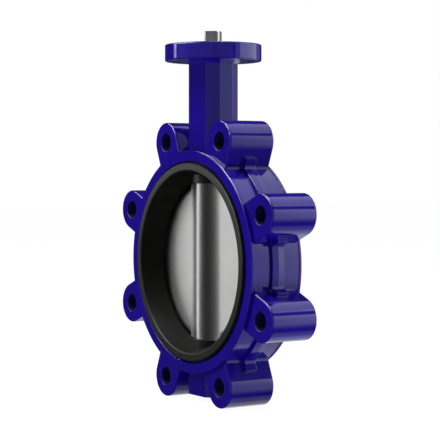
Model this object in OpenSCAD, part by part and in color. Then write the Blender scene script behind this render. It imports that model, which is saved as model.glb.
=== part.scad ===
// Lug butterfly valve with a rubber liner and a bare stem, shown closed.
// The origin is the centre of the waterway. The pipe runs along Y, with the
// front face towards -Y, and the stem stands along +Z.

/* [Valve] */
// Distance from the pipe axis to the top of the actuator flange
flange_height = 201.4; // [190:0.1:230]
// Length between the two machined ring faces
ring_width = 53.7; // [50:0.1:60]

/* [Ring] */
// Radial width of the flat face outside the recess for the rubber
ring_face_width = 9.6; // [7:0.1:12]
// How far the raised lips stand above the barrel of the ring
lip_height = 2; // [1:0.1:3]
// Width of the raised lip along each edge of the ring
lip_width = 2.8; // [1.5:0.1:3]
// Radius of the rounded outer edges of the ring faces
ring_edge_r = 1; // [0.5:0.1:1.5]
// Gap between the edge of the rubber face and the wall of its recess
face_recess_gap = 2; // [1:0.1:3]
// Depth of the recess in each ring face
face_recess_depth = 3; // [2:0.1:4]

/* [Parting rib] */
// Height of the rib round the middle of the ring, above the barrel
rib_height = 4.5; // [3:0.1:7]
// Width of the rib along the pipe
rib_width = 12.6; // [8:0.1:16]
// Height lost from the crown of the rib to its edge
rib_draft = 0.4; // [0:0.1:1]
// How far the rib's end pads stand off the lug flanks
pad_thickness = 3.7; // [2:0.1:5]
// How far the end pads climb the lug flanks above the rib
pad_rise = 6.8; // [4:0.1:10]
// How far the sides of the end pads stand in from the sides of the rib
pad_inset = 0.5; // [0.3:0.1:2]
// Radius between the rib and its end pads
pad_fillet_r = 4.5; // [2:0.5:6]
// How far that radius runs out below the crown of the rib
pad_fillet_sink = 0.6; // [0.4:0.1:1]

/* [Lugs] */
// Number of lugs and flange bolts
lug_count = 8; // [8]
// Radius of the bolt circle
bolt_circle_r = 120; // [118:0.5:125]
// Outer radius of a lug
lug_r = 18.8; // [17:0.1:20]
// How far the ends of a lug stand in from the ring faces
lug_inset = 3.2; // [3.2:0.1:5]
// Radius of a threaded hole, measured over its crests
lug_hole_r = 8.75; // [7:0.05:10]
// Radius of the rounded edges of a lug
lug_edge_r = 1.3; // [0.5:0.1:2]
// Radius between a lug flank and the ring
lug_fillet_r = 5; // [2:0.5:7]

/* [Neck and bottom boss] */
// Half width of the neck across the pipe
neck_half_x = 21.9; // [20:0.1:24]
// Half width of the neck along the pipe
neck_half_y = 17.9; // [16:0.1:20]
// Half width of the neck's flat front and back
neck_front_flat = 14.4; // [10:0.1:16]
// Half width of the neck's flat sides
neck_side_flat = 7.3; // [5:0.1:10]
// Width and height of the flare below the flange
neck_flare = 2.5; // [1:0.1:4]

/* [Actuator flange] */
// Radial width of the metal outside the circle of the actuator bolts
flange_rim = 10; // [8:0.1:14]
// Thickness of the flange
flange_thickness = 15.6; // [12:0.1:18]
// Radius of the circle of the actuator bolts
flange_bolt_circle_r = 35; // [34:0.5:36]
// Number of actuator bolt holes
flange_bolt_count = 4; // [4]
// Radius of an actuator bolt hole
flange_hole_r = 4.5; // [4:0.1:5.5]
// Radius of the recess for the actuator's spigot
spigot_r = 27.5; // [26:0.5:29]
// Depth of the recess for the actuator's spigot
spigot_depth = 3; // [2:0.1:4]
// Radius of the rounded edges of the flange
flange_edge_r = 1.2; // [0.5:0.1:2]

/* [Liner] */
// How far the rubber sealing faces stand proud of the ring faces
liner_proud = 2.15; // [1:0.05:4]
// Wall of the liner where it grips the disc
liner_wall = 7.2; // [6:0.1:9]
// Radial width of the rubber flange outside the bore of the ring
liner_face_width = 7.4; // [6:0.1:9]
// How much wider the liner is at its mouth than at the disc, on the radius
liner_mouth_flare = 6.7; // [3:0.1:7]
// Half length of the narrow part that grips the disc
liner_land = 8; // [5:0.5:10]
// Radius of the rounded mouth edge
liner_lip_r = 2; // [1:0.1:3]
// Height of the dovetail that keys the liner into the ring
key_height = 4; // [2:0.5:5]
// Half width of the dovetail at its root
key_half_width = 7; // [5:0.5:9]
// How much wider the dovetail is at its crest, each side
key_flare = 1.5; // [0.5:0.1:2]
// Radius of the flat pads round the stem holes
stem_pad_r = 19; // [18:0.5:22]

/* [Disc] */
// Radius of the ball that the rim of the disc is turned to
disc_r = 76.5; // [75.5:0.1:78]
// Half thickness of the disc plate
disc_half_t = 8.5; // [6:0.1:10]
// Half thickness of the disc at its rim
rim_half_t = 3.5; // [2.5:0.1:5]
// Radius at which the plate starts to round off to the rim
shoulder_start_r = 68; // [60:1:70]
// Radius of the vertical hub
hub_r = 16.4; // [15:0.1:18]
// How far the flat ends of the hub lie inside the ball of the rim
hub_end_drop = 4.1; // [3:0.1:5.5]
// Radius between the hub and the plate
hub_fillet_r = 28; // [15:1:34]

/* [Stems] */
// Radius of both stems
stem_r = 9; // [8.5:0.1:9.4]
// Width across the flats of the driving squares
square_width = 14; // [12:0.5:14]
// How far the square end stands above the flange
stem_out = 12.5; // [10:0.5:20]
// Length of the square end
square_length = 16; // [14:0.5:24]
// Radius of the chamfer on the stem ends
stem_chamfer = 0.8; // [0.3:0.1:1.5]
// Length of the square that drives the disc
drive_length = 26; // [20:1:30]
// How deep the upper stem reaches into the disc
drive_depth = 48; // [44:1:52]
// How deep the lower stem reaches into the disc
trunnion_depth = 32; // [25:1:40]

/* [Stem bore] */
// Wall of the bushes that carry the stems
bush_wall = 2; // [1.5:0.1:2.5]
// Gap round the stem in the relieved bore between the bushes
relief_gap = 1; // [0.6:0.1:1.4]
// Length of the bush at the top of the neck
top_bush_length = 18; // [12:1:22]
// Length of the gland bush that holds the stem seals
gland_length = 18; // [14:1:24]
// Length of the bush just above the liner
neck_bush_length = 25; // [18:1:28]
// Length of the bush below the liner
trunnion_bush_length = 18; // [14:1:18]
// Distance of the inner bushes from the ring bore
bush_inset = 4; // [2:0.5:5]
// Space between the trunnion bush and the thrust pad
trunnion_end_gap = 1.2; // [0.5:0.1:3]

/* [Stem seals] */
// Radial height of the groove for an O-ring in the gland or on a stem
ring_groove_depth = 1.8; // [1.2:0.1:1.9]
// Width of a groove for an O-ring
ring_groove_width = 2.6; // [2:0.1:3.2]
// Depth of the O-ring seat in each end of the hub
hub_seal_depth = 2.5; // [2:0.1:3]
// Radial width of the O-ring seat in each end of the hub
hub_seal_width = 2.5; // [2:0.1:3.5]
// Shoulder between the bores for the retainer and the wiper
wiper_shoulder = 1; // [0.8:0.1:2]
// Height of the wiper
wiper_height = 4; // [3:0.5:5]

/* [Stem retainer] */
// Shoulder between the bores for the top bush and the retainer
retainer_shoulder = 2; // [1.5:0.1:2.5]
// Thickness of the spring ring
clip_thickness = 1.2; // [1:0.1:1.5]
// Depth of the groove for the spring ring
clip_groove_depth = 0.7; // [0.5:0.1:1]
// Radial width of the spring ring
clip_width = 2.6; // [2:0.1:3]
// Gap between the ends of the spring ring
clip_gap = 7; // [5:0.5:9]
// Radius of a plier hole in the spring ring
clip_hole_r = 0.9; // [0.5:0.1:1]
// Wall of the eyes round the plier holes
clip_eye_wall = 0.9; // [0.6:0.1:0.9]
// Distance from the wiper to the spring ring
clip_inset = 1; // [0.5:0.1:2]
// Height of the split ring in the stem groove
split_height = 3; // [2:0.5:4]
// Saw cut between the halves of the split ring
split_cut = 1; // [0.5:0.1:2]
// Depth of the stem groove that the split ring grips
split_groove_depth = 2; // [1:0.1:3]
// Thickness of the thrust washer
washer_thickness = 1.5; // [1:0.1:2.5]

/* [Bottom plug] */
// Shoulder between the bores for the trunnion bush and the plug
plug_shoulder = 2; // [1.5:0.1:3]
// Length of the plug
plug_length = 14; // [12:0.5:15]
// Width across the flats of the plug's hexagon socket
plug_hex = 12; // [10:1:14]
// Depth of the hexagon socket
plug_hex_depth = 7; // [5:0.5:8]
// Thickness of the thrust pad between the plug and the lower stem
thrust_pad_thickness = 3; // [2:0.5:4]

/* [Clearances] */
// Gap between a turning part and its bearing or seal, on the radius
running_gap = 0.05; // [0.02:0.01:0.1]
// Gap between two still parts that fit one in the other
fit_gap = 0.03; // [0.02:0.01:0.05]
// Gap between the disc and the rubber
disc_gap = 0.3; // [0.3:0.05:0.5]
// Gap between faces that slide on each other along the stem
end_gap = 0.05; // [0.02:0.01:0.2]

/* [Hidden] */
$fn = 96;

// A small overlap that joins shapes of one casting
bite = 2;
// A small length by which a cut passes the face it opens
past = 1;
// Thickness of the slices that the flare is drawn between
slice = 0.1;

cast_colour = [0.11, 0.06, 0.52];
rubber_colour = [0.12, 0.12, 0.11];
disc_colour = [0.62, 0.62, 0.62];
steel_colour = [0.45, 0.45, 0.43];
bush_colour = [0.66, 0.53, 0.32];
acetal_colour = [0.88, 0.87, 0.82];
seal_colour = [0.07, 0.07, 0.07];
spring_colour = [0.2, 0.2, 0.22];

// Half lengths along the pipe
face_y = ring_width / 2;
rib_y = rib_width / 2;
lip_y = face_y + liner_proud;
lug_y = face_y - lug_inset;

// Radii from the disc outwards
liner_bore_r = disc_r + disc_gap;
liner_mouth_r = liner_bore_r + liner_mouth_flare;
seat_bore_r = liner_bore_r + liner_wall;
liner_face_r = seat_bore_r + liner_face_width;
face_recess_r = liner_face_r + face_recess_gap;
ring_r = face_recess_r + ring_face_width;
barrel_r = ring_r - lip_height;
rib_r = barrel_r + rib_height;
hub_half_h = disc_r - hub_end_drop;

// Radii from the stems outwards
relief_r = stem_r + relief_gap;
hub_seal_r = stem_r + hub_seal_width;
bush_r = stem_r + bush_wall;
plug_r = bush_r + plug_shoulder;
retainer_bore_r = bush_r + retainer_shoulder;
wiper_r = retainer_bore_r + wiper_shoulder;
flange_r = flange_bolt_circle_r + flange_rim;

pad_z = hub_half_h + disc_gap;

// Levels in the neck, from the flange downwards
spigot_z = flange_height - spigot_depth;
wiper_z = spigot_z - wiper_height;
clip_z = wiper_z - clip_inset - clip_thickness;
split_z = clip_z - split_height;
washer_z = split_z - washer_thickness;
gland_z = washer_z - gland_length;
top_bush_z = gland_z - top_bush_length;
neck_bush_z = seat_bore_r + bush_inset;
relief_z = neck_bush_z + neck_bush_length;
neck_top_z = flange_height - flange_thickness;
stem_top_z = flange_height + stem_out;

// Levels under the ring, downwards to the underside of the boss
trunnion_bush_z = -seat_bore_r - bush_inset;
thrust_top_z = trunnion_bush_z - trunnion_bush_length - trunnion_end_gap;
plug_top_z = thrust_top_z - thrust_pad_thickness;
plug_z = plug_top_z - plug_length;
stem_low_z = thrust_top_z + end_gap;

// Middles of the O-ring grooves
stem_ring_z = neck_bush_z + neck_bush_length / 2;
trunnion_ring_z = trunnion_bush_z - trunnion_bush_length / 2;
gland_inner_z = gland_z + gland_length * 2 / 3;
gland_outer_z = gland_z + gland_length / 3;

// Turns a profile of radius and height round the stem
module about_stem() {
    rotate_extrude() children();
}

// Turns a profile of radius and length round the pipe
module about_pipe() {
    rotate([90, 0, 0]) rotate_extrude() children();
}

// Lengthens an outline of radius and height evenly along the pipe
module along_pipe(length) {
    rotate([90, 0, 0]) linear_extrude(length, center = true) children();
}

// Repeats its children below the pipe axis
module above_and_below() {
    for (s = [0, 1]) mirror([0, 0, s]) children();
}

// Places its children at each lug, built pointing along +X
module at_lugs() {
    for (i = [0 : lug_count - 1])
        rotate([0, -(i + 0.5) * 360 / lug_count, 0]) children();
}

// Closes an outline that starts on the middle line with its own mirror image
function both_halves(half) =
    concat(half, [for (i = [len(half) - 1 : -1 : 1]) [half[i][0], -half[i][1]]]);

// Profile of a ring between two radii and two heights
module band(inner, outer, low, high) {
    translate([inner, low]) square([outer - inner, high - low]);
}

// What a rounded outer corner loses: sx and sy say which way it points
module corner_loss(x, y, radius, sx, sy) {
    translate([x - sx * radius, y - sy * radius])
        difference() {
            translate([min(sx, 0) * (radius + past), min(sy, 0) * (radius + past)])
                square(radius + past);
            circle(radius);
        }
}

// Cross-section with four rounded corners, centred
module rounded_block(half_w, half_h, radius) {
    difference() {
        square([2 * half_w, 2 * half_h], center = true);
        for (sx = [-1, 1], sy = [-1, 1]) corner_loss(sx * half_w, sy * half_h, radius, sx, sy);
    }
}

// Web of a concave fillet between a round of radius base_r and a flank that
// runs outwards at a distance off from the middle line
module root_fillet(base_r, off, radius) {
    reach = sqrt(pow(base_r + radius, 2) - pow(off + radius, 2));
    share = base_r / (base_r + radius);
    start = sqrt(pow(base_r, 2) - pow(off, 2)) - bite;
    difference() {
        polygon([[start, off - bite], [reach, off - bite], [reach, off + radius],
                 [reach * share, (off + radius) * share]]);
        translate([reach, off + radius]) circle(radius);
    }
}

// Octagonal outline shared by the neck and the bottom boss
module neck_outline(grow = 0) {
    x = neck_half_x + grow;
    y = neck_half_y + grow;
    fx = neck_front_flat + grow / 2;
    fy = neck_side_flat + grow / 2;
    polygon([[x, -fy], [x, fy], [fx, y], [-fx, y], [-x, fy], [-x, -fy], [-fx, -y], [fx, -y]]);
}

module o_ring(inner, outer, z) {
    section_r = (outer - inner) / 2;
    translate([0, 0, z]) about_stem() translate([inner + section_r, 0]) circle(section_r);
}

// Round stem stock cut to a square whose corners keep the round
module square_stock(width, radius, length) {
    intersection() {
        cylinder(h = length, r = radius);
        rotate([0, 0, 45]) translate([-width / 2, -width / 2, 0]) cube([width, width, length]);
    }
}

module ring_casting() {
    recess_y = face_y - face_recess_depth;
    step_y = face_y - lip_width;
    half = [[rib_r, 0], [rib_r - rib_draft, rib_y], [barrel_r, rib_y], [barrel_r, step_y],
            [ring_r, step_y], [ring_r, face_y], [face_recess_r, face_y],
            [face_recess_r, recess_y], [seat_bore_r, recess_y]];
    about_pipe() difference() {
        polygon(both_halves(half));
        for (s = [-1, 1]) corner_loss(ring_r, s * face_y, ring_edge_r, 1, s);
    }
}

// One lug with rounded ends, a flat-sided root and its fillets
module lug() {
    root = barrel_r - bite * 2;
    translate([bolt_circle_r, 0, 0]) about_pipe() difference() {
        band(0, lug_r, -lug_y, lug_y);
        for (s = [-1, 1]) corner_loss(lug_r, s * lug_y, lug_edge_r, 1, s);
    }
    translate([root, 0, 0]) rotate([90, 0, 90])
        linear_extrude(bolt_circle_r - root) rounded_block(lug_y, lug_r, lug_edge_r);
    along_pipe(2 * (lug_y - lug_edge_r))
        for (s = [0, 1]) mirror([0, s]) root_fillet(barrel_r, lug_r, lug_fillet_r);
}

// Where the rib meets a lug it climbs the flank as a low pad
module rib_pad() {
    top = rib_r + pad_rise;
    along_pipe(rib_width - 2 * pad_inset) {
        translate([barrel_r - bite, lug_r - bite])
            square([top - barrel_r + bite, pad_thickness + bite]);
        root_fillet(rib_r - rib_draft - pad_fillet_sink, lug_r + pad_thickness, pad_fillet_r);
    }
}

module neck_and_boss() {
    root = seat_bore_r + key_height + bite;
    translate([0, 0, root]) linear_extrude(neck_top_z - root + past) neck_outline();
    translate([0, 0, plug_z]) linear_extrude(-plug_z - root) neck_outline();
    hull() {
        translate([0, 0, neck_top_z - neck_flare]) linear_extrude(slice) neck_outline();
        translate([0, 0, neck_top_z]) linear_extrude(slice) neck_outline(neck_flare);
    }
}

module flange_casting() {
    about_stem() difference() {
        band(0, flange_r, neck_top_z, flange_height);
        corner_loss(flange_r, flange_height, flange_edge_r, 1, 1);
        corner_loss(flange_r, neck_top_z, flange_edge_r, 1, -1);
    }
}

// Stepped bore for the stem, its bushes, seals and retainer
module stem_bores() {
    about_stem() {
        band(0, spigot_r, spigot_z, flange_height + past);
        band(0, wiper_r, wiper_z, spigot_z + past);
        band(0, retainer_bore_r, gland_z, wiper_z + past);
        band(0, retainer_bore_r + clip_groove_depth, clip_z, clip_z + clip_thickness);
        band(0, bush_r, top_bush_z, gland_z + past);
        band(0, relief_r, relief_z - past, top_bush_z + past);
        band(0, bush_r, seat_bore_r - bite, relief_z);
        band(0, bush_r, plug_top_z - past, -seat_bore_r + bite);
        band(0, plug_r, plug_z - past, plug_top_z);
    }
}

// Dovetail groove round the inside of the ring, matched by the liner's key
module key_profile(grow) {
    inner = seat_bore_r - bite;
    root = key_half_width + grow;
    crest = root + key_flare;
    polygon([[inner, -root], [seat_bore_r + grow, -root], [seat_bore_r + key_height + grow, -crest],
             [seat_bore_r + key_height + grow, crest], [seat_bore_r + grow, root], [inner, root]]);
}

module body() {
    color(cast_colour) difference() {
        union() {
            ring_casting();
            at_lugs() lug();
            for (i = [0 : lug_count - 1], s = [0, 1])
                if (rib_shows(i, s))
                    rotate([0, -(i + 0.5) * 360 / lug_count, 0]) mirror([0, 0, s]) rib_pad();
            neck_and_boss();
            flange_casting();
        }
        about_pipe() key_profile(0);
        at_lugs() translate([bolt_circle_r, 0, 0])
            about_pipe() band(0, lug_hole_r, -face_y, face_y);
        for (i = [0 : flange_bolt_count - 1])
            rotate([0, 0, (i + 0.5) * 360 / flange_bolt_count])
                translate([flange_bolt_circle_r, 0, neck_top_z - past])
                    cylinder(h = flange_thickness + 2 * past, r = flange_hole_r);
        stem_bores();
    }
}

// The neck and the boss fill the gaps at the top and the bottom, so the rib
// has no pads there
function rib_shows(i, side) =
    let (middle = (i + (side == 0 ? 1 : 0)) * 360 / lug_count)
    barrel_r * abs(cos(middle)) > neck_half_x;

// Section of the liner without its key
module liner_profile() {
    shoulder = face_y - face_recess_depth + fit_gap;
    outer = seat_bore_r - fit_gap;
    half = [[outer, 0], [outer, shoulder], [liner_face_r, shoulder], [liner_face_r, lip_y],
            [liner_mouth_r, lip_y], [liner_mouth_r, lip_y - liner_lip_r],
            [liner_bore_r, liner_land]];
    difference() {
        polygon(both_halves(half));
        for (s = [-1, 1]) {
            corner_loss(liner_mouth_r, s * lip_y, liner_lip_r, -1, s);
            corner_loss(liner_face_r, s * lip_y, liner_lip_r / 2, 1, s);
        }
    }
}

module liner() {
    hole_r = stem_r + running_gap;
    color(rubber_colour) difference() {
        union() {
            about_pipe() liner_profile();
            about_pipe() key_profile(-fit_gap);
            above_and_below() {
                intersection() {
                    translate([0, 0, pad_z]) cylinder(h = seat_bore_r - pad_z, r = stem_pad_r);
                    about_pipe() band(0, seat_bore_r - past, -lip_y, lip_y);
                }
                translate([0, 0, pad_z + past])
                    cylinder(h = neck_bush_z - pad_z - past - fit_gap, r = bush_r - fit_gap);
            }
        }
        cylinder(h = 2 * neck_bush_z, r = hole_r, center = true);
    }
}

// Section of the hub, seen along the stem: fillets spread it into the plate,
// and beyond them its sides slope down to the thickness of the rim
module hub_section() {
    off = disc_half_t + hub_fillet_r;
    reach = sqrt(pow(hub_r + hub_fillet_r, 2) - pow(off, 2));
    share = hub_r / (hub_r + hub_fillet_r);
    foot = reach + disc_half_t - rim_half_t;
    circle(hub_r);
    for (sx = [0, 1], sy = [0, 1]) mirror([sx, 0]) mirror([0, sy]) {
        polygon([[0, 0], [foot, 0], [foot, rim_half_t], [reach, disc_half_t], [0, disc_half_t]]);
        difference() {
            polygon([[0, 0], [reach, 0], [reach, off], [reach * share, off * share]]);
            translate([reach, off]) circle(hub_fillet_r);
        }
    }
}

// Plate of the disc: flat faces that round off to the rim
module plate_profile() {
    run = disc_r - shoulder_start_r;
    drop = disc_half_t - rim_half_t;
    shoulder_r = (run * run + drop * drop) / (2 * drop);
    difference() {
        band(0, disc_r, -disc_half_t, disc_half_t);
        for (s = [0, 1]) mirror([0, s]) difference() {
            translate([shoulder_start_r, 0]) square([run + past, disc_half_t + past]);
            translate([shoulder_start_r, disc_half_t - shoulder_r]) circle(shoulder_r);
        }
    }
}

module disc() {
    bore_r = stem_r + fit_gap;
    socket_z = hub_half_h - drive_depth;
    color(disc_colour) difference() {
        intersection() {
            union() {
                about_pipe() plate_profile();
                linear_extrude(2 * hub_half_h, center = true) hub_section();
            }
            sphere(disc_r);
            cube([2 * disc_r + bite, 4 * hub_r, 2 * hub_half_h], center = true);
        }
        translate([0, 0, socket_z + drive_length]) cylinder(h = drive_depth, r = bore_r);
        translate([0, 0, socket_z - past])
            square_stock(square_width + 2 * fit_gap, bore_r, drive_length + 2 * past);
        translate([0, 0, -hub_half_h - past]) cylinder(h = trunnion_depth + 2 * past, r = bore_r);
        above_and_below() translate([0, 0, hub_half_h - hub_seal_depth])
            cylinder(h = hub_seal_depth + past, r = hub_seal_r);
    }
}

module upper_stem() {
    low = hub_half_h - drive_depth;
    square_top = stem_top_z - square_length;
    groove_r = stem_r - split_groove_depth;
    color(steel_colour) difference() {
        union() {
            translate([0, 0, low]) square_stock(square_width, stem_r, drive_length + past);
            translate([0, 0, low + drive_length])
                cylinder(h = square_top - low - drive_length, r = stem_r);
            intersection() {
                translate([0, 0, square_top - past])
                    square_stock(square_width, stem_r, square_length + past);
                about_stem() polygon([[0, 0], [stem_r + past, 0],
                                      [stem_r + past, stem_top_z - stem_chamfer - past],
                                      [stem_r - stem_chamfer, stem_top_z], [0, stem_top_z]]);
            }
        }
        about_stem() {
            band(groove_r, stem_r + past, split_z, split_z + split_height);
            band(stem_r - ring_groove_depth, stem_r + past,
                 stem_ring_z - ring_groove_width / 2, stem_ring_z + ring_groove_width / 2);
        }
    }
}

module lower_stem() {
    top = -hub_half_h + trunnion_depth;
    color(steel_colour) about_stem() difference() {
        polygon([[0, stem_low_z], [stem_r - stem_chamfer, stem_low_z],
                 [stem_r, stem_low_z + stem_chamfer], [stem_r, top - stem_chamfer],
                 [stem_r - stem_chamfer, top], [0, top]]);
        band(stem_r - ring_groove_depth, stem_r + past,
             trunnion_ring_z - ring_groove_width / 2, trunnion_ring_z + ring_groove_width / 2);
    }
}

// Rubber wiper with a raised lip round the stem
module stem_wiper() {
    inner = stem_r + running_gap;
    outer = wiper_r - fit_gap;
    lip = (outer - inner) / 3;
    color(seal_colour) about_stem()
        polygon([[inner, wiper_z], [outer, wiper_z], [outer, spigot_z - wiper_height / 4],
                 [inner + lip, spigot_z - wiper_height / 4], [inner + lip / 2, spigot_z],
                 [inner, spigot_z]]);
}

// Open spring ring with an eye at each end for the pliers
module retaining_ring() {
    outer = retainer_bore_r + clip_groove_depth - fit_gap;
    inner = outer - clip_width;
    eye_r = clip_hole_r + clip_eye_wall;
    eye_x = retainer_bore_r - eye_r - fit_gap;
    turn = asin((clip_gap / 2 + eye_r) / eye_x);
    height = clip_thickness - 2 * fit_gap;
    color(spring_colour) translate([0, 0, clip_z + fit_gap]) linear_extrude(height) {
        difference() {
            circle(outer);
            circle(inner);
            translate([0, -clip_gap / 2]) square([outer + past, clip_gap]);
        }
        for (s = [-1, 1]) rotate(s * turn) translate([eye_x, 0]) difference() {
            circle(eye_r);
            circle(clip_hole_r);
        }
    }
}

// Two half rings that grip the stem groove and keep the stem from rising
module split_ring() {
    inner = stem_r - split_groove_depth + fit_gap;
    outer = retainer_bore_r - disc_gap;
    color(steel_colour) translate([0, 0, split_z + end_gap])
        linear_extrude(split_height - 2 * end_gap) difference() {
            circle(outer);
            circle(inner);
            square([2 * outer + past, split_cut], center = true);
        }
}

module plain_bush(inner, outer, low, length) {
    color(bush_colour) about_stem() band(inner, outer, low, low + length);
}

module thrust_washer() {
    plain_bush(stem_r + running_gap, retainer_bore_r - fit_gap, washer_z, washer_thickness);
}

module top_bush() {
    plain_bush(stem_r + running_gap, bush_r - fit_gap, top_bush_z, top_bush_length);
}

module neck_bush() {
    plain_bush(stem_r + running_gap, bush_r - fit_gap, neck_bush_z, neck_bush_length);
}

module trunnion_bush() {
    plain_bush(stem_r + running_gap, bush_r - fit_gap,
               trunnion_bush_z - trunnion_bush_length, trunnion_bush_length);
}

// Plastic bush with one seal groove inside and one outside
module gland_bush() {
    inner = stem_r + running_gap;
    outer = retainer_bore_r - fit_gap;
    half = ring_groove_width / 2;
    color(acetal_colour) about_stem() difference() {
        band(inner, outer, gland_z, washer_z);
        band(inner - past, inner + ring_groove_depth, gland_inner_z - half,
             gland_inner_z + half);
        band(outer - ring_groove_depth, outer + past, gland_outer_z - half,
             gland_outer_z + half);
    }
}

module gland_inner_o_ring() {
    inner = stem_r + running_gap;
    color(seal_colour) o_ring(inner, inner + ring_groove_depth - fit_gap, gland_inner_z);
}

module gland_outer_o_ring() {
    outer = retainer_bore_r - fit_gap;
    color(seal_colour) o_ring(outer - ring_groove_depth + fit_gap, outer, gland_outer_z);
}

module stem_o_ring() {
    color(seal_colour) o_ring(stem_r - ring_groove_depth + fit_gap, stem_r, stem_ring_z);
}

module trunnion_o_ring() {
    color(seal_colour) o_ring(stem_r - ring_groove_depth + fit_gap, stem_r, trunnion_ring_z);
}

// A seal round each stem in the two ends of the hub
module disc_o_rings() {
    section = min(hub_seal_depth, hub_seal_r - stem_r) - 2 * fit_gap;
    outer = hub_seal_r - fit_gap;
    color(seal_colour) for (s = [-1, 1])
        o_ring(outer - section, outer, s * (hub_half_h - hub_seal_depth / 2));
}

module thrust_pad() {
    color(acetal_colour) translate([0, 0, plug_top_z])
        cylinder(h = thrust_pad_thickness, r = bush_r - fit_gap);
}

// Threaded plug, flush with the boss, with a seal groove and a key socket
module bottom_plug() {
    outer = plug_r - fit_gap;
    color(steel_colour) difference() {
        about_stem() difference() {
            band(0, outer, plug_z, plug_top_z);
            corner_loss(outer, plug_z, stem_chamfer, 1, -1);
            band(outer - ring_groove_depth, outer + past,
                 plug_top_z - 2 * ring_groove_width, plug_top_z - ring_groove_width);
        }
        translate([0, 0, plug_z - past])
            cylinder(h = plug_hex_depth + past, r = plug_hex / sqrt(3), $fn = 6);
    }
}

module plug_o_ring() {
    outer = plug_r - fit_gap;
    color(seal_colour)
        o_ring(outer - ring_groove_depth + fit_gap, outer, plug_top_z - 1.5 * ring_groove_width);
}

body();
liner();
disc();
upper_stem();
lower_stem();
stem_wiper();
retaining_ring();
split_ring();
thrust_washer();
top_bush();
gland_bush();
gland_inner_o_ring();
gland_outer_o_ring();
neck_bush();
stem_o_ring();
disc_o_rings();
trunnion_bush();
trunnion_o_ring();
thrust_pad();
bottom_plug();
plug_o_ring();
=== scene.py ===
# Looks for a lug butterfly valve: finishes, lug threads, floor, light and camera round the parts
import math

import bmesh
import bpy
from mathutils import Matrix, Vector


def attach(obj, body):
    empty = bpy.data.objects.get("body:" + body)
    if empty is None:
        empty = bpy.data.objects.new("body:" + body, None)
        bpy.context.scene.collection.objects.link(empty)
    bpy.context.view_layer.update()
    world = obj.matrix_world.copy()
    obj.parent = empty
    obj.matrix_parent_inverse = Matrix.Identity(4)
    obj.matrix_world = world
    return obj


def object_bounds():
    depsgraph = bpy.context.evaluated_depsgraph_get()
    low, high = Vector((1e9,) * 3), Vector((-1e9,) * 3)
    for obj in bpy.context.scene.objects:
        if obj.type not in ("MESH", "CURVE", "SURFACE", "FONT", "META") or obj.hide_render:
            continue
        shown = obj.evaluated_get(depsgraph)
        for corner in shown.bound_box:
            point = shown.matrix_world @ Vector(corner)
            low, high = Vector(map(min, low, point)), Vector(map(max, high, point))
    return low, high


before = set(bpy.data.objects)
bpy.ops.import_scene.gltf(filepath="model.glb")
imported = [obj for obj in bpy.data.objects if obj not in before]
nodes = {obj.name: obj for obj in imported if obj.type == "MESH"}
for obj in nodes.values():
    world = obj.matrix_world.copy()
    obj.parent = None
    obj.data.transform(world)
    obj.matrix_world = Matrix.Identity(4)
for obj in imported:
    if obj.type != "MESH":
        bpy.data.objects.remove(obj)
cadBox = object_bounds()
mm = 0.001


# Shader maths: wraps one socket, so that an expression on values adds its Math nodes
class Wire:
    def __init__(self, graph, socket):
        self.graph = graph
        self.socket = socket

    def math(self, operation, *others):
        return self.graph.node("ShaderNodeMath", {"operation": operation}, self, *others)

    def __add__(self, other):
        return self.math("ADD", other)

    def __radd__(self, other):
        return self.math("ADD", other)

    def __sub__(self, other):
        return self.math("SUBTRACT", other)

    def __rsub__(self, other):
        return self.graph.node("ShaderNodeMath", {"operation": "SUBTRACT"}, other, self)

    def __mul__(self, other):
        return self.math("MULTIPLY", other)

    def __rmul__(self, other):
        return self.math("MULTIPLY", other)

    def __truediv__(self, other):
        return self.math("DIVIDE", other)

    def __pow__(self, other):
        return self.math("POWER", other)

    # A soft step from 0 below low to 1 above high
    def between(self, low, high):
        return self.graph.node("ShaderNodeMapRange", {"interpolation_type": "SMOOTHSTEP"},
                               self, low, high)

    # Swings to both sides of a middle value, as the noise in this wire does about 0.5
    def around(self, middle, swing):
        return (self - 0.5) * swing + middle

    # A share of this wire and the rest of another
    def blend(self, other, share):
        return self * share + other * (1 - share)


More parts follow.
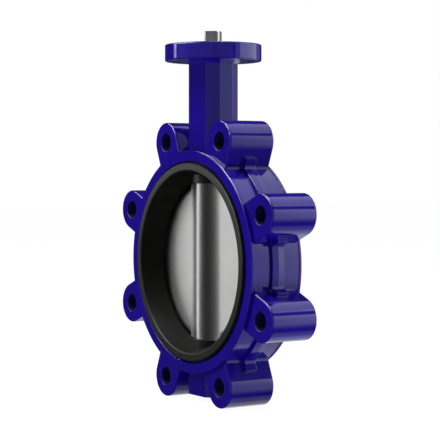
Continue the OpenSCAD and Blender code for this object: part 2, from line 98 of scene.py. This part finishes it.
# The node tree of a material, of the world or of a Geometry Nodes modifier
class Graph:
    def __init__(self, tree, owner=None):
        self.owner = owner
        self.tree = tree
        self.tree.nodes.clear()

    def put(self, socket, value):
        if isinstance(value, Wire):
            self.tree.links.new(value.socket, socket)
        elif socket.type == "RGBA" and len(value) == 3:
            socket.default_value = (*value, 1)
        else:
            socket.default_value = value

    # Adds any node: its settings first, then values or links by place or by name
    def make(self, kind, settings=None, *values, **links):
        made = self.tree.nodes.new(kind)
        for key, value in (settings or {}).items():
            setattr(made, key, value)
        for i, value in enumerate(values):
            self.put(made.inputs[i], value)
        for key, value in links.items():
            self.put(made.inputs[key.replace("_", " ")], value)
        return made

    def node(self, kind, settings=None, *values, out=0, **links):
        return Wire(self, self.make(kind, settings, *values, **links).outputs[out])

    def place(self):
        return self.node("ShaderNodeTexCoord", out="Object")

    def axes(self, where):
        split = self.make("ShaderNodeSeparateXYZ", None, where)
        return [Wire(self, s) for s in split.outputs]

    def noise(self, scale, detail=3.0):
        return self.node("ShaderNodeTexNoise", {"noise_dimensions": "3D"}, Vector=self.place(),
                         Scale=scale, Detail=detail, Roughness=0.55)

    # The Mix node keeps its colours in slots 6 and 7, and its colour result in output 2
    def mix(self, share, first, second):
        mixed = self.make("ShaderNodeMix", {"data_type": "RGBA"})
        for slot, value in ((0, share), (6, first), (7, second)):
            self.put(mixed.inputs[slot], value)
        return Wire(self, mixed.outputs[2])

    # Two shades in soft patches that follow a noise
    def mottle(self, pattern, first, second, blur=0.2):
        return self.mix(pattern.between(0.5 - blur, 0.5 + blur), first, second)

    def bump(self, height, strength, distance, normal=None):
        made = self.make("ShaderNodeBump", None, Strength=strength, Distance=distance,
                         Height=height)
        if normal:
            self.put(made.inputs["Normal"], normal)
        return Wire(self, made.outputs[0])

    # Rounds sharp edges in the shading alone
    def softEdge(self, radius):
        return self.node("ShaderNodeBevel", {"samples": 6}, Radius=radius)

    def surface(self, **links):
        shader = self.make("ShaderNodeBsdfPrincipled", None, **links)
        return self.end("ShaderNodeOutputMaterial", shader)

    # Links the last shader to the output and hands back the material or world
    def end(self, kind, shader):
        out = self.make(kind)
        self.tree.links.new(shader.outputs[0], out.inputs["Surface"])
        return self.owner


def newFinish(name):
    material = bpy.data.materials.new(name)
    material.use_nodes = True
    return Graph(material.node_tree, material)


def srgb(r, g, b):
    def linear(c):
        c = c / 255
        return c / 12.92 if c <= 0.04045 else ((c + 0.055) / 1.055) ** 2.4
    return (linear(r), linear(g), linear(b))


def faded(shade, share):
    return [c * share for c in shade]


def cosine(degrees):
    return math.cos(math.radians(degrees))


def sine(degrees):
    return math.sin(math.radians(degrees))


paint = {"colour": srgb(29, 4, 142), "deep": srgb(23, 3, 127), "roughness": 0.11, "ior": 1.5,
         "grainSwing": 0.08, "cloudSwing": 0.05, "cloudShare": 0.7, "cloudBlur": 0.15,
         "peelScale": 260.0, "grainScale": 1100.0, "cloudScale": 26.0, "edgeRadius": 1.0 * mm,
         "grainHeight": 0.25, "peelStrength": 0.04, "peelDepth": 0.2 * mm}
lugs = {"count": 8, "circleRadius": 120 * mm, "holeRadius": 8.75 * mm,
        "paintEdge": (0.05 * mm, 0.2 * mm)}  # where the paint begins outside the hole's wall
# Dark navy of the lug holes' walls and threads: painted shade for the inside of the holes
holeShadeLook = {"colour": srgb(6, 0, 84), "fade": 0.8, "roughness": 0.6, "grainSwing": 0.2,
        "specular": 0.1, "grainScale": 900.0, "grainStrength": 0.1, "grainDepth": 0.05 * mm}


# 1 on the walls of the tapped holes, which take painted shade in place of the paint
def holeShadeMask(f):
    x, y, z = f.axes(f.place())
    step = math.tau / lugs["count"]
    offset = ((z.math("ARCTAN2", x) / step).math("FRACT") - 0.5) * step
    reach = (x * x + z * z) ** 0.5
    along = reach * offset.math("COSINE") - lugs["circleRadius"]
    across = reach * offset.math("SINE")
    away = (along * along + across * across) ** 0.5
    return 1 - away.between(*[lugs["holeRadius"] + past for past in lugs["paintEdge"]])


# Thick powder coat on a casting: soft orange peel, a fine grain and rounded edges, with painted
# shade on the walls of the lug holes
def epoxyPaint():
    f = newFinish("epoxyPaint")
    # Painted shade: the walls of the lug holes take the dark thread colour in place of the paint
    holeShade = holeShadeMask(f)
    cloud = f.noise(paint["cloudScale"])
    peel = f.noise(paint["peelScale"], 1.0)
    grain = f.noise(paint["grainScale"], 2.0)
    coat = f.mottle(cloud.blend(grain, paint["cloudShare"]), paint["deep"], paint["colour"],
                    paint["cloudBlur"])
    gloss = cloud.around(grain.around(paint["roughness"], paint["grainSwing"]),
                         paint["cloudSwing"])
    rough = gloss * (1 - holeShade) + holeShade * holeShadeLook["roughness"]
    normal = f.bump(peel + grain * paint["grainHeight"], paint["peelStrength"],
                    paint["peelDepth"], f.softEdge(paint["edgeRadius"]))
    return f.surface(Base_Color=f.mix(holeShade, coat, holeShadeLook["colour"]), Roughness=rough,
                     Normal=normal, IOR=paint["ior"])


# The thread, in a dark navy that is painted shade for the inside of its hole
def holeShadeIron():
    f = newFinish("holeShadeIron")
    grain = f.noise(holeShadeLook["grainScale"], 2.0)
    colour = f.mottle(grain, holeShadeLook["colour"], faded(holeShadeLook["colour"], holeShadeLook["fade"]))
    return f.surface(Base_Color=colour, Roughness=grain.around(holeShadeLook["roughness"],
                                                               holeShadeLook["grainSwing"]),
                     Specular_IOR_Level=holeShadeLook["specular"],
                     Normal=f.bump(grain, holeShadeLook["grainStrength"], holeShadeLook["grainDepth"]))


rubber = {"deep": srgb(15, 15, 14), "pale": srgb(26, 27, 23), "roughness": 0.46,
          "bloomSwing": 0.1, "grainSwing": 0.06, "grainScale": 1500.0, "bloomScale": 34.0,
          "grainStrength": 0.1, "grainDepth": 0.1 * mm}


# Moulded seat with a faint pale bloom
def linerRubber():
    f = newFinish("linerRubber")
    grain = f.noise(rubber["grainScale"])
    bloom = f.noise(rubber["bloomScale"], 4.0)
    rough = grain.around(bloom.around(rubber["roughness"], rubber["bloomSwing"]),
                         rubber["grainSwing"])
    return f.surface(Base_Color=f.mottle(bloom, rubber["deep"], rubber["pale"]), Roughness=rough,
                     Normal=f.bump(grain, rubber["grainStrength"], rubber["grainDepth"]))


plate = {"pale": srgb(188, 188, 187), "deep": srgb(176, 176, 176), "roughness": 0.38,
         "grainSwing": 0.1, "cloudSwing": 0.06, "cloudShare": 0.6, "grainScale": 2300.0,
         "cloudScale": 38.0, "edgeRadius": 0.4 * mm, "grainStrength": 0.05,
         "grainDepth": 0.05 * mm}


# Cast disc, blasted and polished to a satin grey
def discSteel():
    f = newFinish("discSteel")
    grain = f.noise(plate["grainScale"], 2.0)
    cloud = f.noise(plate["cloudScale"])
    colour = f.mottle(cloud.blend(grain, plate["cloudShare"]), plate["deep"], plate["pale"])
    rough = cloud.around(grain.around(plate["roughness"], plate["grainSwing"]),
                         plate["cloudSwing"])
    normal = f.bump(grain, plate["grainStrength"], plate["grainDepth"],
                    f.softEdge(plate["edgeRadius"]))
    return f.surface(Base_Color=colour, Metallic=1.0, Roughness=rough, Normal=normal)


marks = {"perMetre": 9000.0, "swing": 0.12, "strength": 0.1, "depth": 0.03 * mm,
         "cloudScale": 60.0, "fade": 0.85}


# Fine tool marks that run round the stem axis
def turnedSteel(name, shade, roughness):
    f = newFinish(name)
    x, y, z = f.axes(f.place())
    lines = f.node("ShaderNodeTexNoise", {"noise_dimensions": "1D"}, W=z * marks["perMetre"],
                   Detail=2.0)
    cloud = f.noise(marks["cloudScale"])
    return f.surface(Base_Color=f.mottle(cloud, faded(shade, marks["fade"]), shade),
                     Metallic=1.0, Roughness=lines.around(roughness, marks["swing"]),
                     Normal=f.bump(lines, marks["strength"], marks["depth"]))


mould = {"grainScale": 1100.0, "cloudScale": 50.0, "fade": 0.88, "swing": 0.08,
         "strength": 0.08, "depth": 0.05 * mm}


# Small seals and plastic bushes
def moulded(name, shade, roughness):
    f = newFinish(name)
    grain = f.noise(mould["grainScale"])
    cloud = f.noise(mould["cloudScale"])
    return f.surface(Base_Color=f.mottle(cloud, faded(shade, mould["fade"]), shade),
                     Roughness=cloud.around(roughness, mould["swing"]),
                     Normal=f.bump(grain, mould["strength"], mould["depth"]))


# Colour and roughness of each metal and moulding, then the nodes that wear each finish
turnedLooks = {"stemSteel": (srgb(230, 230, 225), 0.32), "bushBronze": (srgb(170, 130, 72), 0.35),
               "plugSteel": (srgb(140, 142, 146), 0.4), "springSteel": (srgb(60, 60, 64), 0.35)}
mouldedLooks = {"sealRubber": (srgb(26, 26, 26), 0.5), "acetal": (srgb(224, 221, 208), 0.42)}
wearers = {
    "epoxyPaint": ["body"], "linerRubber": ["liner"], "discSteel": ["disc"],
    "stemSteel": ["upper_stem", "lower_stem", "split_ring"],
    "bushBronze": ["thrust_washer", "top_bush", "neck_bush", "trunnion_bush"],
    "plugSteel": ["bottom_plug"], "springSteel": ["retaining_ring"],
    "sealRubber": ["stem_wiper", "gland_inner_o_ring", "gland_outer_o_ring", "stem_o_ring",
                   "disc_o_rings", "trunnion_o_ring", "plug_o_ring"],
    "acetal": ["gland_bush", "thrust_pad"]}


def dress():
    made = {"epoxyPaint": epoxyPaint(), "linerRubber": linerRubber(), "discSteel": discSteel()}
    for name, look in turnedLooks.items():
        made[name] = turnedSteel(name, *look)
    for name, look in mouldedLooks.items():
        made[name] = moulded(name, *look)
    for name, dressed in wearers.items():
        for node in dressed:
            slots = nodes[node].data.materials
            slots.clear()
            slots.append(made[name])
    return made["epoxyPaint"]


bodyPaint = dress()
print("finishes on", len(nodes), "nodes")


# A form of this script alone: turns its faces outward and fixes it to the valve's body. The
# mesh brings the name and the finish
def addPiece(mesh, shape):
    bmesh.ops.recalc_face_normals(shape, faces=shape.faces)
    shape.to_mesh(mesh)
    shape.free()
    piece = bpy.data.objects.new(mesh.name, mesh)
    bpy.context.scene.collection.objects.link(piece)
    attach(piece, "valve_body")
    print(mesh.name, "has", len(mesh.polygons), "faces")


thread = {"pitch": 2.5 * mm, "depth": 45 * mm, "ridge": 0.45 * mm, "wireRadius": 1.25 * mm,
          "stepsPerTurn": 24, "wireSides": 6, "mergeWithin": 0.001 * mm}


# Thread ridges: one helix swept by a round section, then a copy in each lug
def threadTree():
    tree = bpy.data.node_groups.new("lugThreads", "GeometryNodeTree")
    g = Graph(tree)
    face = tree.interface
    face.new_socket("Geometry", in_out="OUTPUT", socket_type="NodeSocketGeometry")
    wanted = {"Lugs": ("NodeSocketInt", lugs["count"]),
              "Circle Radius": ("NodeSocketFloat", lugs["circleRadius"]),
              "Helix Radius": ("NodeSocketFloat",
                               lugs["holeRadius"] - thread["ridge"] + thread["wireRadius"]),
              "Depth": ("NodeSocketFloat", thread["depth"]),
              "Pitch": ("NodeSocketFloat", thread["pitch"]),
              "Wire Radius": ("NodeSocketFloat", thread["wireRadius"]),
              "Finish": ("NodeSocketMaterial", holeShadeIron())}
    settings = {}
    for name, (kind, value) in wanted.items():
        socket = face.new_socket(name, in_out="INPUT", socket_type=kind)
        settings[socket.identifier] = value
    entry = g.make("NodeGroupInput")
    given = {name: Wire(g, entry.outputs[name]) for name in wanted}
    helix = g.node("GeometryNodeCurveSpiral", None, thread["stepsPerTurn"],
                   given["Depth"] / given["Pitch"], given["Helix Radius"], given["Helix Radius"],
                   given["Depth"])
    section = g.node("GeometryNodeCurvePrimitiveCircle", {"mode": "RADIUS"},
                     Resolution=thread["wireSides"], Radius=given["Wire Radius"])
    ridge = g.node("GeometryNodeCurveToMesh", None, Curve=helix, Profile_Curve=section,
                   Fill_Caps=True)
    shift = g.node("ShaderNodeCombineXYZ", None, given["Circle Radius"],
                   given["Depth"] * 0.5, 0.0)
    laid = g.node("GeometryNodeTransform", None, Geometry=ridge, Translation=shift,
                  Rotation=(math.radians(90), 0, 0))
    spots = g.node("GeometryNodePoints", None, Count=given["Lugs"])
    turn = (g.node("GeometryNodeInputIndex") + 0.5) * math.tau / given["Lugs"]
    copies = g.node("GeometryNodeInstanceOnPoints", None, Points=spots, Instance=laid,
                    Rotation=g.node("ShaderNodeCombineXYZ", None, 0.0, turn, 0.0))
    joined = g.node("GeometryNodeRealizeInstances", None, copies)
    coated = g.node("GeometryNodeSetMaterial", None, Geometry=joined, Material=given["Finish"])
    g.make("NodeGroupOutput", None, coated)
    return tree, settings


def makeThreads():
    carrier = bpy.data.objects.new("threadCarrier", bpy.data.meshes.new("threadCarrier"))
    bpy.context.scene.collection.objects.link(carrier)
    tree, settings = threadTree()
    maker = carrier.modifiers.new("lugThreads", "NODES")
    maker.node_group = tree
    for identifier, value in settings.items():
        maker[identifier] = value
    ready = carrier.evaluated_get(bpy.context.evaluated_depsgraph_get())
    mesh = bpy.data.meshes.new_from_object(ready)
    mesh.name = "lug_threads"
    carrier.modifiers.remove(maker)
    bpy.data.objects.remove(carrier)
    shape = bmesh.new()
    shape.from_mesh(mesh)
    bmesh.ops.remove_doubles(shape, verts=shape.verts, dist=thread["mergeWithin"])
    addPiece(mesh, shape)
    mesh.shade_smooth()


makeThreads()

barrel = {"radius": 102.5 * mm, "sunk": 1.5 * mm, "ribSide": 6.0 * mm, "lipSide": 24.3 * mm,
          "steps": 192}


# The photograph shows next to no step between the barrel and the lips of the ring: this band
# fills most of it on both sides of the rib
def makeBarrelSkin():
    shape = bmesh.new()
    low, high = barrel["radius"] - barrel["sunk"], barrel["radius"]
    for side in (-1, 1):
        near, far = side * barrel["ribSide"], side * barrel["lipSide"]
        outline = [(low, near), (high, near), (high, far), (low, far)]
        rings = []
        for i in range(barrel["steps"]):
            turn = math.tau * i / barrel["steps"]
            rings.append([shape.verts.new((r * math.cos(turn), y, r * math.sin(turn)))
                          for r, y in outline])
        for ring, after in zip(rings, rings[1:] + rings[:1]):
            for j in range(len(outline)):
                k = (j + 1) % len(outline)
                shape.faces.new((ring[j], ring[k], after[k], after[j])).smooth = True
                shape.edges.get((ring[j], after[j])).smooth = False  # keeps the corner crisp
    mesh = bpy.data.meshes.new("barrel_skin")
    mesh.materials.append(bodyPaint)
    addPiece(mesh, shape)


makeBarrelSkin()

# Soft light panels in the world, which the camera doesn't see, in degrees: from and to in
# azimuth and elevation, and how soft their sides, bottom and top are
panels = {
    "sideBox": {"azimuth": (37, 91), "elevation": (-17, 23), "soft": (4, 21, 1.5), "level": 2.1},
    "nearSide": {"azimuth": (22, 40), "elevation": (-19, 28), "soft": (2, 12, 2), "level": 0.7},
    "farSide": {"azimuth": (92, 112), "elevation": (-20, 20), "soft": (2, 4, 4), "level": 0.3},
    "topBox": {"azimuth": (33, 119), "elevation": (36, 80), "soft": (2, 2, 2), "level": 1.5},
    "frontSoft": {"azimuth": (-136, -102), "elevation": (-30, 30), "soft": (4, 4, 4),
                  "level": 0.08},
    "strip": {"azimuth": (-139, -132), "elevation": (4, 13), "soft": (1.5, 1.5, 1.5), "level": 8},
    "lowSide": {"azimuth": (48, 98), "elevation": (-64, -47), "soft": (4, 4, 6), "level": 0.5},
    "lowBack": {"azimuth": (96, 160), "elevation": (-60, -16), "soft": (2, 2, 4), "level": 0.9}}
room = {"ambient": 0.04, "upright": 0.0001}  # upright keeps straight up and down off zero


# Level of one panel in the direction x, y, z
def panelLevel(x, y, z, want):
    side, below, above = want["soft"]
    first, last = want["azimuth"]
    turn, half = (first + last) / 2, (last - first) / 2
    flat = (x * x + y * y + room["upright"]) ** 0.5
    along = (x * cosine(turn) + y * sine(turn)) / flat
    low, high = want["elevation"]
    wide = along.between(cosine(half + side), cosine(half - side))
    rise = z.between(sine(low - below), sine(low + below))
    fall = z.between(sine(high - above), sine(high + above))
    return wide * rise * (1 - fall) * want["level"]


def makeWorld():
    world = bpy.data.worlds.new("studio")
    world.use_nodes = True
    w = Graph(world.node_tree, world)
    seen = w.node("ShaderNodeLightPath", out="Is Camera Ray")
    x, y, z = w.axes(w.node("ShaderNodeTexCoord"))
    level = room["ambient"]
    for want in panels.values():
        level = level + panelLevel(x, y, z, want)
    back = w.make("ShaderNodeBackground", None, Color=(1, 1, 1),
                  Strength=seen + (1 - seen) * level)
    bpy.context.scene.world = w.end("ShaderNodeOutputWorld", back)


floorLook = {"reach": 6.0, "deep": srgb(238, 238, 238), "pale": srgb(244, 244, 244),
             "cloudScale": 3.0, "glow": 0.88, "glare": 1.08}


# White to the camera but for the shadow, and out of the way of reflections
def floorFinish():
    f = newFinish("paleFloor")
    rays = f.make("ShaderNodeLightPath")
    tone = f.mix(f.noise(floorLook["cloudScale"], 2.0), floorLook["deep"], floorLook["pale"])
    matt = f.node("ShaderNodeBsdfDiffuse", None, Color=tone)
    glow = f.node("ShaderNodeEmission", None, Color=(1, 1, 1), Strength=floorLook["glare"])
    lit = f.node("ShaderNodeMixShader", None,
                 Wire(f, rays.outputs["Is Camera Ray"]) * floorLook["glow"], matt, glow)
    both = f.make("ShaderNodeMixShader", None, Wire(f, rays.outputs["Is Glossy Ray"]), lit,
                  f.node("ShaderNodeBsdfTransparent"))
    return f.end("ShaderNodeOutputMaterial", both)


def makeFloor():
    mesh = bpy.data.meshes.new("floor")
    r = floorLook["reach"]
    z = cadBox[0].z
    mesh.from_pydata([(-r, -r, z), (r, -r, z), (r, r, z), (-r, r, z)], [], [(0, 1, 2, 3)])
    mesh.materials.append(floorFinish())
    floor = bpy.data.objects.new("floor", mesh)
    bpy.context.scene.collection.objects.link(floor)


# Angles in degrees, distances and sizes in metres. A lamp lights only the nodes that it names,
# or all but the ones it is without, and glossyOnly shows it in reflections alone
lamps = {
    "keyLamp": {"azimuth": -112, "elevation": 50, "distance": 2.0, "size": (0.6, 1.5),
                "power": 31, "without": ["disc"]},
    "topLamp": {"azimuth": 20, "elevation": 78, "distance": 2.0, "size": (0.8, 0.5),
                "power": 14},
    "rimLamp": {"azimuth": 60, "elevation": 30, "distance": 2.4, "size": (0.9, 0.7),
                "power": 5},
    "edgeLamp": {"azimuth": -112, "elevation": 48, "distance": 2.0, "size": (2.6, 0.8),
                 "power": 76, "only": ["body"], "glossyOnly": True},
    "frontGloss": {"azimuth": -76, "elevation": 2, "distance": 2.0, "size": (4.2, 2.0),
                   "power": 7, "only": ["body"], "glossyOnly": True},
    "sideGloss": {"azimuth": -6, "elevation": 2, "distance": 2.0, "size": (1.5, 2.0),
                  "power": 2.5, "only": ["body"], "glossyOnly": True},
    "discLamp": {"azimuth": -156, "elevation": 4, "distance": 2.0, "size": (0.94, 1.6),
                 "power": 9.4, "only": ["disc"]},
    "linerLamp": {"azimuth": -146, "elevation": 14, "distance": 0.7, "size": (0.3, 0.3),
                  "power": 0.5, "only": ["liner"]},
    "stemLamp": {"azimuth": -46, "elevation": 4, "distance": 2.0, "size": (1.4, 1.4),
                 "power": 0.5, "only": ["upper_stem"]}}
lampAim = Vector((0, 0, 30 * mm))


# Lets a lamp reach chosen nodes only, or all the rest
def linkLamp(made, chosen, state):
    lit = bpy.data.collections.new(made.name)
    for node in chosen:
        lit.objects.link(nodes[node])
    for entry in lit.collection_objects:
        entry.light_linking.link_state = state
    made.light_linking.receiver_collection = lit


def makeLamps():
    for name, want in lamps.items():
        data = bpy.data.lights.new(name, "AREA")
        data.shape = "RECTANGLE"
        data.size, data.size_y = want["size"]
        data.energy = want["power"]
        made = bpy.data.objects.new(name, data)
        turn, lift = want["azimuth"], want["elevation"]
        out = Vector((cosine(turn) * cosine(lift), sine(turn) * cosine(lift), sine(lift)))
        made.location = lampAim + out * want["distance"]
        made.rotation_mode = "QUATERNION"
        made.rotation_quaternion = (-out).to_track_quat("-Z", "Y")
        made.visible_camera = False
        made.visible_diffuse = not want.get("glossyOnly", False)
        bpy.context.scene.collection.objects.link(made)
        if "only" in want:
            linkLamp(made, want["only"], "INCLUDE")
        if "without" in want:
            linkLamp(made, want["without"], "EXCLUDE")


lens = {"turn": 58.03, "place": (1196.6 * mm, -777.9 * mm, 85.9 * mm), "focalPx": 1530.42,
        "sensor": 36.0, "imagePx": 440, "centrePx": (184.94, 168.83), "clipEnd": 50}


# The photograph's view: level, with a shift in place of its crop
def makeCamera():
    data = bpy.data.cameras.new("camera")
    data.sensor_width = lens["sensor"]
    data.lens = lens["focalPx"] / lens["imagePx"] * lens["sensor"]
    half = lens["imagePx"] / 2
    data.shift_x = (half - lens["centrePx"][0]) / lens["imagePx"]
    data.shift_y = (lens["centrePx"][1] - half) / lens["imagePx"]
    data.clip_end = lens["clipEnd"]
    camera = bpy.data.objects.new("camera", data)
    camera.location = lens["place"]
    camera.rotation_euler = (math.radians(90), 0, math.radians(lens["turn"]))
    bpy.context.scene.collection.objects.link(camera)
    bpy.context.scene.camera = camera


makeFloor()
makeWorld()
makeLamps()
makeCamera()
bpy.context.scene.view_settings.view_transform = "Standard"
print("floor, light and camera are ready")
